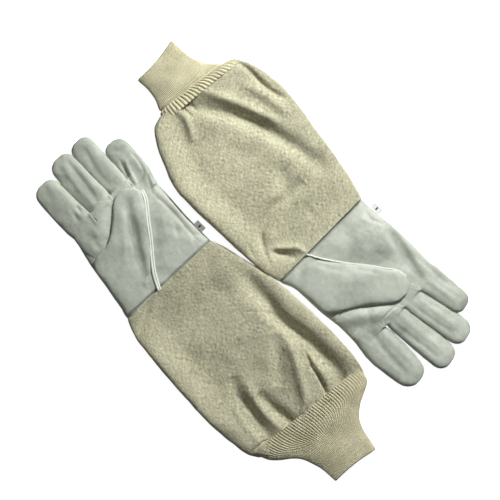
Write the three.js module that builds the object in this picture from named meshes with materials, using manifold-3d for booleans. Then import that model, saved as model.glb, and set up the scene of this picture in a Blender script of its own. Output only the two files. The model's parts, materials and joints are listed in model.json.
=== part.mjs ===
// A pair of beekeeping gloves lying palm up, head to tail: the left glove's fingers point along -X and
// the right glove's along +X. Millimetres, +Z up. Each glove is a leather hand with its thumb folded over
// the palm, a wide canvas sleeve and a ribbed knit cuff. Every tube is a flattened one: a row of stations,
// each a rounded slab section between a point on the thumb-side edge and one on the little-finger side.
import * as THREE from "three";
import { mergeVertices } from "three/addons/utils/BufferGeometryUtils.js";
import Module from "manifold-3d";

const wasm = await Module();
wasm.setup();

// Thicknesses and gaps.
const LEATHER = 1.2;
const CANVAS = 1.0;
const KNIT = 2.4;
const GAP = 0.3; // between two pieces that are sewn edge to edge
const HALF_GAP = GAP / 2;

// Heights above the table.
const PALM_TOP = 16;
const FINGER_TOP = 16;
const LITTLE_TOP = 15;
const WRIST_TOP = 22; // the heel of the thumb, at the wrist
const SLEEVE_TOPS = [20, 25, 29, 30, 28, 24]; // evenly spaced from the wrist to the cuff
const CUFF_TOPS = [24, 20, 16, 15, 14]; // and on to the open end
const THUMB_UNDER = PALM_TOP + 2 * GAP;
const THUMB_TOP = 31;
const THUMB_HEEL_TOP = 28; // halfway from the wrist to the thumb's root
const SIDE_SEAM = 7; // the side seams of the hand and sleeve

// The side strips between the fingers reach from here to here.
const FOURCHETTE_LOW = 4.4;
const FOURCHETTE_HIGH = 11.4;
const FOURCHETTE_END = 9; // short of the fingertip
const FOURCHETTE_BACK = 5; // past the root line, where the finger's own end cuts it off
const FOURCHETTE_INNER = 0.35; // the space starts this share of the half width from the centre line
const FOURCHETTE_OUTER = 40; // and ends well clear of the side

const WELT_OUT = 2.4; // how far the thumb seam's welt stands out
const WELT_THICK = 1.8;
const WELT_INWARD = 0.3; // the welt's strip reaches this share of the width in from the seam edge
const WELT_OUTWARD = -0.5; // and this share out past it
const BASE_WELT_HEIGHT = PALM_TOP + 3;
const THUMB_WELT_STATIONS = 4; // the thumb's welt stops before its tip
const TAG = { length: 14, width: 6.8, thick: 0.9, height: 7 };

// The rounded slab section, as (across, up) from (-1, 0) to (1, 1).
const SECTION = [
  [-0.86, 0], [0.86, 0], [1, 0.25], [1, 0.5], [0.9, 0.8], [0.6, 0.96],
  [0.2, 1], [-0.2, 1], [-0.6, 0.96], [-0.9, 0.8], [-1, 0.5], [-1, 0.25],
];

// Outlines in plan. Every edge runs from the wrist outwards.
const GLOVES = {
  left: {
    palmEdges: {
      thumb: [[-61, -149], [-80, -144], [-105, -140], [-130, -136], [-155, -132.5], [-182, -131]],
      little: [[-56, -17], [-80, -16], [-120, -13.5], [-150, -11.5], [-182, -8]],
    },
    sleeveEdges: {
      thumb: [[-61, -149], [-28, -159], [30, -164], [90, -168], [130, -166.5], [155, -161], [168, -152]],
      little: [[-56, -17], [-20, -8.5], [10, -2.5], [40, 3], [80, 6.5], [120, 7], [155, 5], [182, 0]],
    },
    cuffEdges: {
      thumb: [[168, -152], [180, -144], [190, -132], [205, -120], [225, -115], [246, -112.5]],
      little: [[182, 0], [194, -9], [203, -28], [214, -40], [230, -47], [253, -52]],
    },
    fingers: {
      index: {
        root: [-166, -112], tip: [-243, -111.7], rootHalf: 18.5, midHalf: 17,
        top: FINGER_TOP, sides: ["little"],
      },
      middle: {
        root: [-172, -76.3], tip: [-253.5, -77.6], rootHalf: 14.2, midHalf: 15.6,
        top: FINGER_TOP, sides: ["thumb", "little"],
      },
      ring: {
        root: [-173, -48.2], tip: [-248, -46.2], rootHalf: 11.8, midHalf: 13.3,
        top: FINGER_TOP, sides: ["thumb", "little"],
      },
      little: {
        root: [-163, -21.8], tip: [-218.5, -17.8], rootHalf: 12.6, midHalf: 13.4,
        top: LITTLE_TOP, sides: ["thumb"],
      },
    },
    thumb: { root: [-120, -81], tip: [-164, -38], rootHalf: 22, midHalf: 17 },
    thumbBase: [
      { thumb: [-61.5, -147], little: [-60, -101], top: WRIST_TOP },
      { thumb: [-98, -139], little: [-79, -86.5], top: THUMB_HEEL_TOP },
      { thumb: [-127, -130], little: [-93, -75], top: THUMB_TOP },
    ],
    thumbHole: [-104, -105],
    tag: [-75, -12.4],
  },
  right: {
    palmEdges: {
      thumb: [[39, 7], [52, 11.5], [75, 14], [100, 16], [120, 18.5], [170, 17.5]],
      little: [[38, 143], [60, 143.5], [100, 145], [140, 147.5], [170, 150]],
    },
    sleeveEdges: {
      thumb: [
        [39, 7], [20, 2.5], [0, -0.8], [-20, -2.5], [-60, -4], [-100, -5.5], [-135, -1], [-165, 12],
        [-188, 27], [-200, 48],
      ],
      little: [
        [38, 143], [0, 151.5], [-50, 160], [-100, 167], [-130, 168], [-155, 165.5], [-175, 158], [-187, 148],
      ],
    },
    cuffEdges: {
      thumb: [[-200, 48], [-210, 51.5], [-225, 54.5], [-247, 55.5]],
      little: [[-187, 148], [-193, 138], [-205, 127], [-222, 119.5], [-250, 115]],
    },
    fingers: {
      index: {
        root: [157, 37], tip: [233.5, 38.6], rootHalf: 18.8, midHalf: 18.6,
        top: FINGER_TOP, sides: ["little"],
      },
      middle: {
        root: [155, 72], tip: [246.8, 82], rootHalf: 13.9, midHalf: 14.2,
        top: FINGER_TOP, sides: ["thumb", "little"],
      },
      ring: {
        root: [154, 100.9], tip: [238.3, 111.5], rootHalf: 12.9, midHalf: 13.7,
        top: FINGER_TOP, sides: ["thumb", "little"],
      },
      little: {
        root: [150, 131], tip: [211, 137.4], rootHalf: 15.6, midHalf: 12.4,
        top: LITTLE_TOP, sides: ["thumb"],
      },
    },
    thumb: { root: [104, 68], tip: [149, 107], rootHalf: 24, midHalf: 16.5 },
    thumbBase: [
      { thumb: [39.6, 9], little: [39.3, 50], top: WRIST_TOP },
      { thumb: [75, 16], little: [53, 62], top: THUMB_HEEL_TOP },
      { thumb: [111, 22], little: [72, 75], top: THUMB_TOP },
    ],
    thumbHole: [86, 45],
    tag: [56, 147.4],
  },
};

const MATERIALS = {
  leather: new THREE.MeshStandardMaterial({ color: 0xb9c2b8, roughness: 0.6, metalness: 0 }),
  canvas: new THREE.MeshStandardMaterial({ color: 0xbfb58f, roughness: 0.95, metalness: 0 }),
  knit: new THREE.MeshStandardMaterial({ color: 0xcabf94, roughness: 0.95, metalness: 0 }),
  tag: new THREE.MeshStandardMaterial({ color: 0xeeeeea, roughness: 0.8, metalness: 0 }),
};

const pair = new THREE.Group();

// ---- Solids ----

const MERGE_WITHIN = 1e-4;

function solidOf(geometry) {
  const bare = geometry.clone();
  bare.deleteAttribute("normal");
  bare.deleteAttribute("uv");
  const merged = mergeVertices(bare, MERGE_WITHIN);
  return new wasm.Manifold(new wasm.Mesh({
    numProp: 3,
    vertProperties: new Float32Array(merged.attributes.position.array),
    triVerts: new Uint32Array(merged.index.array),
  }));
}

function addMesh(name, solid, material) {
  const mesh = solid.getMesh();
  const geometry = new THREE.BufferGeometry();
  geometry.setAttribute("position", new THREE.BufferAttribute(new Float32Array(mesh.vertProperties), 3));
  geometry.setIndex(new THREE.BufferAttribute(new Uint32Array(mesh.triVerts), 1));
  geometry.computeVertexNormals();
  const made = new THREE.Mesh(geometry, material);
  made.name = name;
  pair.add(made);
}

// A block from corner to corner.
function block(low, high) {
  const size = high.map((v, i) => v - low[i]);
  const geometry = new THREE.BoxGeometry(...size);
  geometry.translate(...low.map((v, i) => v + size[i] / 2));
  return solidOf(geometry);
}

const FAR = 600;
const slab = (low, high) => block([-FAR, -FAR, low], [FAR, FAR, high]);

// A prism over a plan outline, given as a list of [x, y].
function prism(outline, low, high) {
  const shape = new THREE.Shape(outline.map((p) => new THREE.Vector2(...p)));
  const geometry = new THREE.ExtrudeGeometry(shape, { depth: high - low, bevelEnabled: false });
  geometry.translate(0, 0, low);
  return solidOf(geometry);
}

// ---- Flattened tubes ----

const point = (p) => new THREE.Vector2(...p);

// Stations between two edges, evenly spaced along both. tops are heights, spread along the same length.
function edgeStations(edges, count, tops, bottom = 0) {
  const thumb = new THREE.SplineCurve(edges.thumb.map(point));
  const little = new THREE.SplineCurve(edges.little.map(point));
  return Array.from({ length: count }, (_, i) => {
    const share = i / (count - 1);
    return {
      a: thumb.getPointAt(share),
      b: little.getPointAt(share),
      low: bottom,
      high: between(tops, share),
    };
  });
}

// The value at share of the way along a list.
function between(list, share) {
  const at = share * (list.length - 1);
  const i = Math.min(Math.floor(at), list.length - 2);
  return THREE.MathUtils.lerp(list[i], list[i + 1], at - i);
}

// Stations of a finger or thumb stall: parallel sides that widen from the root and close in a round tip.
const STALL_STATIONS = [0, 0.4, 0.72, 0.84, 0.93, 0.98];
const TIP_FLAT = 0.985; // the last section is a short blunt end rather than a point
const TIP_SHARE = TIP_FLAT + 0.01;
const STALL_WIDENS_BY = 0.6; // the sides reach midHalf at this share of the length
const TIP_DROP = 0.3; // the top comes down by this share of the height at the tip
const TIP_LIFT = 0.4; // and the bottom comes up by this share of that
function stallStations(stall, low, high) {
  const root = point(stall.root);
  const tip = point(stall.tip);
  const length = root.distanceTo(tip);
  const along = tip.clone().sub(root).normalize();
  const across = acrossStall(stall);
  const roundStart = 1 - stall.midHalf / length;
  return [...STALL_STATIONS, TIP_SHARE].map((share) => {
    const widened = Math.min(1, share / STALL_WIDENS_BY);
    const straight = THREE.MathUtils.lerp(stall.rootHalf, stall.midHalf, widened);
    const turn = Math.max(0, (share - roundStart) / (1 - roundStart));
    const half = straight * Math.sqrt(1 - turn * turn * TIP_FLAT);
    const centre = root.clone().addScaledVector(along, share * length);
    const drop = (high - low) * TIP_DROP * turn * turn;
    return {
      a: centre.clone().addScaledVector(across, -half),
      b: centre.clone().addScaledVector(across, half),
      low: low + drop * TIP_LIFT,
      high: high - drop,
    };
  });
}

// The unit direction across a stall, from its thumb side to its little-finger side.
function acrossStall(stall) {
  const along = point(stall.tip).sub(point(stall.root)).normalize();
  const left = new THREE.Vector2(-along.y, along.x);
  return left.y > 0 ? left : left.negate();
}

const FLOOR_DROP = 4; // an open bottom runs down by this many insets

// One section's corners, drawn in by inset all round. An open bottom drops the section's floor instead.
function sectionPoints(station, inset, openBottom) {
  const middle = station.a.clone().add(station.b).multiplyScalar(0.5);
  const half = station.b.clone().sub(station.a).multiplyScalar(0.5);
  const reach = half.length();
  half.multiplyScalar((reach - inset) / reach);
  const low = station.low + (openBottom ? -inset * FLOOR_DROP : inset);
  const high = station.high - inset;
  return SECTION.map(([across, up]) => new THREE.Vector3(
    middle.x + half.x * across,
    middle.y + half.y * across,
    low + (high - low) * up,
  ));
}

// A closed solid through the stations' sections. startBy and endBy push the end sections out along the tube.
function loft(stations, { inset = 0, startBy = 0, endBy = 0, openBottom = false } = {}) {
  const rings = stations.map((s) => sectionPoints(s, inset, openBottom));
  pushOut(rings[0], rings[1], startBy);
  pushOut(rings.at(-1), rings.at(-2), endBy);
  const n = SECTION.length;
  const corners = rings.flat();
  const triangles = [];
  for (let r = 0; r < rings.length - 1; r++) {
    for (let i = 0; i < n; i++) {
      const a = r * n + i;
      const b = r * n + ((i + 1) % n);
      triangles.push(a, b, a + n, b, b + n, a + n);
    }
  }
  const last = (rings.length - 1) * n;
  for (let i = 1; i < n - 1; i++) {
    triangles.push(0, i + 1, i, last, last + i, last + i + 1);
  }
  if (signedVolume(corners, triangles) < 0) triangles.reverse();
  const geometry = new THREE.BufferGeometry().setFromPoints(corners);
  geometry.setIndex(triangles);
  return solidOf(geometry);
}

function pushOut(ring, next, distance) {
  if (!distance) return;
  const centre = (r) => r.reduce((sum, p) => sum.add(p), new THREE.Vector3()).divideScalar(r.length);
  const way = centre(ring).sub(centre(next)).setZ(0).setLength(distance);
  ring.forEach((p) => p.add(way));
}

function signedVolume(corners, triangles) {
  let sum = 0;
  for (let i = 0; i < triangles.length; i += 3) {
    const [a, b, c] = [0, 1, 2].map((k) => corners[triangles[i + k]]);
    sum += a.dot(new THREE.Vector3().crossVectors(b, c));
  }
  return sum;
}

const OPEN = 4; // how far a hollow runs past an open end
const SLEEVE_STATIONS = 9;
const CUFF_STATIONS = 6;
const PALM_STATIONS = 6;
const HEEL_OVERLAP = 0.2; // the hand's outline runs past the wrist by this share of the palm's length
const HEEL_REACH = 200; // and past both side edges
const ABOVE_AND_BELOW = 5; // and the palm's thickness by this much
const EDGE_REACH = 8; // an outer finger's root line runs this far past its side
const THUMB_HOLE = [17, 17, 12, 12]; // both radii, the height and the number of sides

// ---- The pieces of one glove ----

function buildSleeve(side, glove) {
  const stations = edgeStations(glove.sleeveEdges, SLEEVE_STATIONS, SLEEVE_TOPS);
  const outer = loft(stations, { startBy: -HALF_GAP, endBy: -HALF_GAP });
  const tube = outer.subtract(loft(stations, { inset: CANVAS, startBy: OPEN, endBy: OPEN }));
  addMesh(`${side}_sleeve_front`, tube.intersect(slab(SIDE_SEAM + HALF_GAP, FAR)), MATERIALS.canvas);
  addMesh(`${side}_sleeve_back`, tube.intersect(slab(-FAR, SIDE_SEAM - HALF_GAP)), MATERIALS.canvas);
}

function buildCuff(side, glove) {
  const stations = edgeStations(glove.cuffEdges, CUFF_STATIONS, CUFF_TOPS);
  const outer = loft(stations, { startBy: -HALF_GAP });
  const tube = outer.subtract(loft(stations, { inset: KNIT, startBy: OPEN, endBy: OPEN }));
  addMesh(`${side}_knit_cuff`, tube, MATERIALS.knit);
}

// The hand's outline in plan: square at the wrist, and stepped along the finger roots.
function handOutline(glove) {
  const fingers = Object.values(glove.fingers);
  const roots = fingers.flatMap((finger, i) => rootLine(finger, fingers[i - 1], fingers[i + 1]));
  const wrist = [glove.palmEdges.little[0], glove.palmEdges.thumb[0]];
  const beyond = (wrist[0][0] - roots[0][0]) * HEEL_OVERLAP;
  const heel = [[wrist[0][0] + beyond, HEEL_REACH], [wrist[1][0] + beyond, -HEEL_REACH]];
  return counterClockwise([...roots, ...heel]);
}

// One finger's root line, out to the lines halfway to its neighbours.
function rootLine(finger, previous, next) {
  const along = point(finger.tip).sub(point(finger.root)).normalize();
  const corner = (reach) => point(finger.root)
    .addScaledVector(acrossStall(finger), reach)
    .addScaledVector(along, -HALF_GAP)
    .toArray();
  const reachTo = (other) => (other ? halfway(finger, other) : finger.rootHalf + EDGE_REACH);
  return [corner(-reachTo(previous)), corner(reachTo(next))];
}

// Distance from a finger's centre line to the middle of the gap beside it.
function halfway(finger, other) {
  const apart = Math.abs(point(other.root).sub(point(finger.root)).dot(acrossStall(finger)));
  return finger.rootHalf + (apart - finger.rootHalf - other.rootHalf) / 2;
}

function counterClockwise(outline) {
  return THREE.ShapeUtils.area(outline.map(point)) < 0 ? outline.reverse() : outline;
}

function buildHand(side, glove) {
  const stations = edgeStations(glove.palmEdges, PALM_STATIONS, [PALM_TOP, PALM_TOP]);
  const outer = loft(stations, { startBy: -HALF_GAP });
  const hollow = loft(stations, { inset: LEATHER, startBy: OPEN, endBy: OPEN });
  const outline = prism(handOutline(glove), -ABOVE_AND_BELOW, PALM_TOP + ABOVE_AND_BELOW);
  const tube = outer.subtract(hollow).intersect(outline);
  const hole = new THREE.CylinderGeometry(...THUMB_HOLE).rotateX(Math.PI / 2);
  hole.translate(...glove.thumbHole, PALM_TOP);
  const palm = tube.intersect(slab(SIDE_SEAM + HALF_GAP, FAR)).subtract(solidOf(hole));
  addMesh(`${side}_palm_panel`, palm, MATERIALS.leather);
  addMesh(`${side}_back_panel`, tube.intersect(slab(-FAR, SIDE_SEAM - HALF_GAP)), MATERIALS.leather);
}

// A vertical strip of space along one side of a stall, where its fourchette goes.
function fourchetteZone(finger, sign, grow) {
  const root = point(finger.root);
  const along = point(finger.tip).sub(root).normalize();
  const across = acrossStall(finger).multiplyScalar(sign);
  const length = root.distanceTo(point(finger.tip)) - FOURCHETTE_END;
  const corner = (forward, out) => root.clone()
    .addScaledVector(along, forward)
    .addScaledVector(across, out)
    .toArray();
  const inner = finger.rootHalf * FOURCHETTE_INNER;
  const outline = [
    corner(-FOURCHETTE_BACK, inner),
    corner(length + grow, inner),
    corner(length + grow, FOURCHETTE_OUTER),
    corner(-FOURCHETTE_BACK, FOURCHETTE_OUTER),
  ];
  return prism(counterClockwise(outline), FOURCHETTE_LOW - grow, FOURCHETTE_HIGH + grow);
}

function buildFinger(side, name, finger) {
  const stations = stallStations(finger, 0, finger.top);
  const outer = loft(stations, { startBy: -HALF_GAP });
  const hollow = loft(stations, { inset: LEATHER, startBy: OPEN, endBy: -LEATHER });
  const tube = outer.subtract(hollow);
  let front = tube.intersect(slab(SIDE_SEAM + HALF_GAP, FAR));
  let back = tube.intersect(slab(-FAR, SIDE_SEAM - HALF_GAP));
  for (const towards of finger.sides) {
    const sign = towards === "thumb" ? -1 : 1;
    const cut = fourchetteZone(finger, sign, HALF_GAP);
    front = front.subtract(cut);
    back = back.subtract(cut);
    const strip = tube.intersect(fourchetteZone(finger, sign, -HALF_GAP));
    addMesh(`${side}_${name}_fourchette_${towards}_side`, strip, MATERIALS.leather);
  }
  addMesh(`${side}_${name}_front`, front, MATERIALS.leather);
  addMesh(`${side}_${name}_back`, back, MATERIALS.leather);
}

// The welt is a strip of a thin shell round the first few stations: the part on the little-finger side, at
// the height of the seam.
function welt(stations, count, seam, options) {
  const covered = stations.slice(0, count);
  const shell = loft(covered, { ...options, inset: -WELT_OUT }).subtract(loft(stations, { inset: -GAP }));
  const edge = (share) => covered.map((s) => s.b.clone().lerp(s.a, share).toArray());
  const outline = counterClockwise([...edge(WELT_INWARD), ...edge(WELT_OUTWARD).reverse()]);
  return shell.intersect(prism(outline, seam - WELT_THICK / 2, seam + WELT_THICK / 2));
}

function buildThumb(side, glove) {
  const stations = stallStations(glove.thumb, THUMB_UNDER, THUMB_TOP);
  const seam = (THUMB_UNDER + THUMB_TOP) / 2;
  const outer = loft(stations, { startBy: -HALF_GAP });
  const tube = outer.subtract(loft(stations, { inset: LEATHER, startBy: OPEN, endBy: -LEATHER }));
  addMesh(`${side}_thumb_outer`, tube.intersect(slab(seam + HALF_GAP, FAR)), MATERIALS.leather);
  addMesh(`${side}_thumb_inner`, tube.intersect(slab(-FAR, seam - HALF_GAP)), MATERIALS.leather);
  const thumbWelt = welt(stations, THUMB_WELT_STATIONS, seam, { startBy: -HALF_GAP });
  addMesh(`${side}_thumb_welt`, thumbWelt, MATERIALS.leather);

  const base = glove.thumbBase.map((s) => ({
    a: point(s.thumb),
    b: point(s.little),
    low: PALM_TOP + GAP,
    high: s.top,
  }));
  base.push({ ...stations[0], low: PALM_TOP + GAP });
  const bothEnds = { startBy: -HALF_GAP, endBy: -HALF_GAP };
  const dome = loft(base, bothEnds);
  const under = loft(base, { inset: LEATHER, startBy: -LEATHER, endBy: OPEN, openBottom: true });
  addMesh(`${side}_thumb_base`, dome.subtract(under), MATERIALS.leather);
  addMesh(`${side}_thumb_base_welt`, welt(base, base.length, BASE_WELT_HEIGHT, bothEnds), MATERIALS.leather);
}

function buildTag(side, glove) {
  const geometry = new THREE.BoxGeometry(TAG.length, TAG.width, TAG.thick);
  geometry.translate(...glove.tag, TAG.height);
  addMesh(`${side}_size_tag`, solidOf(geometry), MATERIALS.tag);
}

for (const [side, glove] of Object.entries(GLOVES)) {
  buildSleeve(side, glove);
  buildCuff(side, glove);
  buildHand(side, glove);
  Object.entries(glove.fingers).forEach(([name, finger]) => buildFinger(side, name, finger));
  buildThumb(side, glove);
  buildTag(side, glove);
}

// The origin is the middle of the pair's outline on the table.
const middle = new THREE.Box3().setFromObject(pair).getCenter(new THREE.Vector3());
pair.position.set(-middle.x, -middle.y, 0);

export default pair;
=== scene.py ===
"""A pair of beekeeping gloves lying palm up, head to tail, on a pale studio floor.

Sizes are in millimetres in the row frame, as in the part's own source: X along the gloves, Y from the left
glove to the right one, Z up. Each glove is a voxel-remeshed leather hand with a thumb laid over the palm, a
folded canvas sleeve, a ribbed knit cuff and a label. The leather is cut into pieces at the part's hinges.
"""

import json
import math

import bpy
import numpy as np
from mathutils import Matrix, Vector


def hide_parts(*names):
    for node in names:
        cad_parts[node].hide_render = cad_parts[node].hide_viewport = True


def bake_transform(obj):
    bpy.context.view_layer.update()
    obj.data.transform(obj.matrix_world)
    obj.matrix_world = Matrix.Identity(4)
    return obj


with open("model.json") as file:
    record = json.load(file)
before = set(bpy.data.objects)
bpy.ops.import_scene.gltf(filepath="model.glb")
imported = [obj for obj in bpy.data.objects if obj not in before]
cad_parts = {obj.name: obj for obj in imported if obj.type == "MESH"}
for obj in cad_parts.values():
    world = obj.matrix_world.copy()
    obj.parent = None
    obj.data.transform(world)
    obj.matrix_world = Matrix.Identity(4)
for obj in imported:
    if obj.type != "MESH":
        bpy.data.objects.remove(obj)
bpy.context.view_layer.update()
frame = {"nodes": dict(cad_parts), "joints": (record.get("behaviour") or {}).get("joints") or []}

JOINTS = {joint["name"]: joint for joint in frame["joints"]}
MM = 0.001

# ---- Sizes, in millimetres ----

SEAM_HEIGHT = 7.0  # the side seams, above the floor
FLOOR_CLEAR = 0.05  # nothing lies lower than this above the floor

LEATHER_VOXEL = 0.95
SMOOTH_FACTOR = 0.5
LEATHER_TUCK = 7.0  # how far the leather runs on inside the sleeve
WRIST_DIP = 2.4  # how far the leather dips where it runs under the edge of the canvas
HAND_HIGH = 15.6
HAND_CROWN = 0.9  # how much higher the middle of the hand is than its two ends
FINGER_HIGH = 15.4
FINGER_SEAM = 7.2
TIP_DROP = 4.5  # how much lower a fingertip is
TIP_RISE = 2.6  # how far its underside curves up
FINGER_ROLL = {"left": 2.2, "right": -1.5}  # how much higher one side of a finger lies
FINGER_PLACES = [0, 0.45, 0.75, 1]  # where along a finger its half widths are given
FINGER_LIP = 0.8  # the pinched seam along one side of a finger
FINGER_SLIM = 1.3  # fingers are remeshed this much slimmer on each side, so that neighbours don't fuse
SKIN_SHRINK = 1.3  # what smoothing takes off each side of a finger
WELT_FLOOR = 15.2  # the lowest underside of the thumb's welt, on the palm

CANVAS_STEP = 1.3
CANVAS_COLUMNS = 340
CANVAS_THICK = 1.0
CANVAS_SQUARE = 9  # how square the sleeve's section is
SAG_DEPTH = 13.0
ROUND_REACH = 26.0  # how far before the cuff the sleeve starts to round off
SCALLOP_REACH = 22.0  # how far before the cuff the edge starts to fall back

KNIT_THICK = 2.0
CUFF_SQUARE = 2.5  # how square the cuff's section is
CUFF_HOLLOW = 2.8  # the open edge runs in this far at its middle
CUFF_TUCK = 7.0  # how far the knit starts inside the canvas
CUFF_BAND = {"left": -20, "right": 7}  # the right cuff is creased along a line this far past its seam
CUFF_CREASE = {"left": 0.0, "right": 2.4}
CREASE_WIDTH = 1.5
CUFF_LONG = 75.0  # the length of knit that its stitches are counted along
RIBS = 96  # round the whole cuff
RIB_COLUMNS = 6  # mesh columns for each rib
RIB_DEPTH = 0.55
BAND_RIB_DEPTH = 1.3  # how much deeper the wider ribs between the seam and the crease are

TAG_SIZE = (13.0, 7.2, 0.8)
TAG_HEIGHT = 11.0  # the label comes out near the top of the side and droops
TAG_DROOP = 0.1

CURVE_SAMPLES = 40  # for each given point of a curve
RUMPLE_WAVES = 10
WAVE_SUM = 3.2  # a sum of random waves is divided by this, to be about 1 high
PHASES = 6.28  # random phases lie between 0 and this
LONG_FOLD = 6  # a fold is long when it is more than this many widths long
FOLD_END = 0.15  # the share of its height that a fold keeps at its ends
SECTION_SAMPLES = 1440  # round a tube's section


def stall(root, tip, half, bend):
    """A finger: the ends of its middle line, its half widths at FINGER_PLACES, and how far it bows."""
    return {"root": root, "tip": tip, "half": half, "bend": bend}


# Outlines run from the wrist outwards, along the thumb's side and the little finger's. Each place along a
# thumb is (outer edge, inner edge, lowest, highest), each welt (distance from the edge, radius), and each
# point of a sleeve's end (share of the way across, how far the canvas edge falls back).
GLOVES = {
    "left": {
        "wrist": [(-61, -149), (-56, -17)],
        "palm": {
            "thumb": [
                (-50, -151), (-61, -149.5), (-80, -144), (-105, -140.5), (-130, -136.5), (-155, -130.5),
                (-176, -125),
            ],
            "little": [(-45, -17), (-56, -17), (-80, -17), (-120, -15), (-150, -13.6), (-172, -10.5)],
        },
        "fingers": {
            "index": stall((-150, -110.9), (-240, -110.3), (18.0, 16.6, 15.8, 14.0), -0.8),
            "middle": stall((-152, -76), (-249, -75.2), (14.8, 15.9, 15.5, 13.7), -2.4),
            "ring": stall((-152, -48.3), (-247, -45.6), (11.8, 13.5, 13.8, 13.0), -0.9),
            "little": stall((-146, -24), (-218, -18.6), (11.8, 13.4, 13.4, 12.4), 1.2),
        },
        "thumb": [
            ((-58, -149), (-55, -101), 4.0, 17.0),
            ((-80, -144.4), (-72, -92.5), 5.0, 19.6),
            ((-103, -140), (-88, -80.5), 9.0, 22.0),
            ((-130, -132), (-108, -63.6), 14.5, 23.4),
            ((-136.4, -101), (-122, -53), 15.6, 23.8),
            ((-150, -81), (-135, -42.5), 15.6, 24.0),
            ((-164.5, -65), (-144, -36.2), 15.6, 23.8),
            ((-169, -53), (-152.5, -33.4), 16.0, 22.6),
            ((-166.4, -43.6), (-160, -36.2), 17.5, 20.5),
        ],
        "sleeve": {
            "thumb": [
                (-58, -149.5), (-40, -156.5), (0, -162), (50, -165.6), (100, -167.2), (130, -165),
                (152, -161.5), (166, -154),
            ],
            "little": [
                (-54, -16.5), (-40, -11.5), (-20, -6.5), (20, 1.6), (50, 5.6), (100, 7.8), (130, 7.8),
                (166, 4.6), (183, 0),
            ],
        },
        "cuff": {
            "thumb": [
                (155, -156), (163, -154.5), (172, -150.5), (183, -140), (192, -130), (203, -121),
                (220, -115.2), (246, -112.4),
            ],
            "little": [
                (171, -2), (180, -1), (190, -3.4), (197, -14), (204, -29), (214, -40), (228, -47),
                (253, -52.5),
            ],
        },
        "sleeve_end": [
            (0, 0), (0.05, -4), (0.14, 8), (0.25, 1.2), (0.41, 0), (0.5, 8), (0.62, 4.4), (0.84, 3.6),
            (0.92, 5.6), (1, 4.6),
        ],
        "tag": (-75, -12.4),
        "welts": [(0.5, 1.45), (3.0, 1.3)],
        "sag_rise": 6.0,
        "gathered": 1.0,
        "thumb_lean": 0.15,
    },
    "right": {
        "wrist": [(38.5, 142), (39, 6.5)],
        "palm": {
            "thumb": [(28, 4), (39, 6.5), (54, 12.6), (71, 13.8), (100, 15.4), (120, 18), (160, 17.6)],
            "little": [
                (28, 142.6), (39, 141.6), (56, 141.8), (79, 144.4), (110, 145.6), (140, 145),
                (158, 141),
            ],
        },
        "fingers": {
            "index": stall((140, 36), (233.6, 39.6), (19.0, 20.4, 18.2, 14.4), -0.9),
            "middle": stall((136, 70.2), (244.6, 80.4), (13.8, 15.6, 15.8, 13.8), 1.5),
            "ring": stall((136, 95.2), (237, 115.2), (11.3, 15.0, 15.2, 14.4), 0.9),
            "little": stall((132, 126), (211, 138.3), (19.0, 15.2, 13.2, 11.8), 0.5),
        },
        "thumb": [
            ((36, 7), (34, 49.5), 4.0, 17.0),
            ((52, 12.4), (49, 57.5), 5.0, 19.6),
            ((75, 15), (67, 69.5), 8.0, 22.0),
            ((98, 17.5), (84, 82.5), 13.0, 23.4),
            ((114.5, 39), (99, 94.5), 15.6, 23.8),
            ((125.5, 57), (111.4, 103), 15.6, 24.0),
            ((140, 74), (124, 111.6), 15.6, 23.8),
            ((149, 88), (136, 114), 16.0, 22.6),
            ((150, 99.5), (145.5, 110), 17.5, 20.5),
        ],
        "sleeve": {
            "thumb": [
                (36, 6), (15, 0.6), (-9, -1.6), (-55, -3.4), (-100, -4.8), (-127, -3), (-153, 6.6),
                (-177, 18), (-193, 31), (-198, 46),
            ],
            "little": [
                (35, 142), (15, 148), (-17, 154.6), (-65, 162), (-99, 167.2), (-130, 168.6),
                (-155, 164.5), (-175, 158), (-187, 150),
            ],
        },
        "cuff": {
            "thumb": [(-188, 44), (-195, 46), (-203, 49), (-214, 53), (-228, 55), (-246, 55.6)],
            "little": [
                (-177, 155), (-184, 151), (-191, 139), (-199, 129.5), (-211, 122), (-228, 117.2),
                (-250.5, 115),
            ],
        },
        "sleeve_end": [(0, 0), (0.22, 4.6), (0.5, 0), (0.7, 4.3), (1, 0)],
        "tag": (56, 147.4),
        "welts": [(0.2, 1.0)],
        "sag_rise": 2.0,
        "gathered": 0.3,
        "thumb_lean": 0.3,
    },
}

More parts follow.
